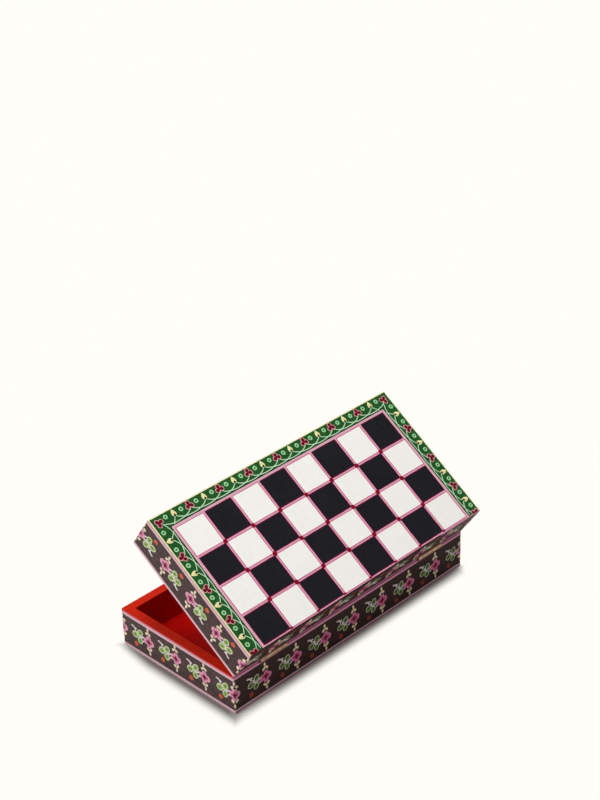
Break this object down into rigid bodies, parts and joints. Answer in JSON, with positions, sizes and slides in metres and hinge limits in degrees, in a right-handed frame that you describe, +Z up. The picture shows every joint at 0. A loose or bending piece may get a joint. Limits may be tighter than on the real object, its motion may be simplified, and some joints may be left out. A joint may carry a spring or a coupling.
{
  "type": "folding chess board",
  "caption": "Folding wooden chess board: two hinged painted trays that close into a box for the men and unfold flat, with a hook catch.",
  "frame": {"origin": "centre of the flat face that the base rests on", "axes": "+X along the hinge side, +Y from the hinge side to the opening side, +Z up; the lid stands 34.5 degrees open at rest"},
  "size_m": [0.3, 0.1734, 0.1566],
  "materials": {
    "painted_wood": "dark brown lacquer, red inside",
    "board_lacquer": "painted playing field under clear lacquer",
    "brass": "aged, lightly rubbed",
    "steel": "bright wire"
  },
  "bodies": {
    "base": {"base_panel": "board_lacquer", "base_hinge_wall": "painted_wood", "base_front_wall": "painted_wood", "base_left_end": "painted_wood", "base_right_end": "painted_wood", "base_corner_pins": "steel", "base_panel_pins": "steel", "left_hinge_base_leaf": "brass", "left_hinge_base_screws": "brass", "left_hinge_pin": "brass", "right_hinge_base_leaf": "brass", "right_hinge_base_screws": "brass", "right_hinge_pin": "brass", "catch_screw": "brass", "catch_washer": "brass"},
    "lid": {"lid_panel": "board_lacquer", "lid_hinge_wall": "painted_wood", "lid_front_wall": "painted_wood", "lid_left_end": "painted_wood", "lid_right_end": "painted_wood", "lid_corner_pins": "steel", "lid_panel_pins": "steel", "left_hinge_lid_leaf": "brass", "left_hinge_lid_screws": "brass", "right_hinge_lid_leaf": "brass", "right_hinge_lid_screws": "brass", "catch_stud": "brass"},
    "hook": {"catch_hook": "brass"}
  },
  "joints": [
    {"name": "lid_hinge", "type": "hinge", "parent": "base", "child": "lid", "pos_m": [0, -0.0738, 0.0403], "axis": [1, 0, 0], "range_deg": [-34.5, 145.5]},
    {"name": "catch_hook_swing", "type": "hinge", "parent": "base", "child": "hook", "pos_m": [0, 0.0735, 0.03], "axis": [0, 1, 0], "range_deg": [-140, 180]}
  ]
}
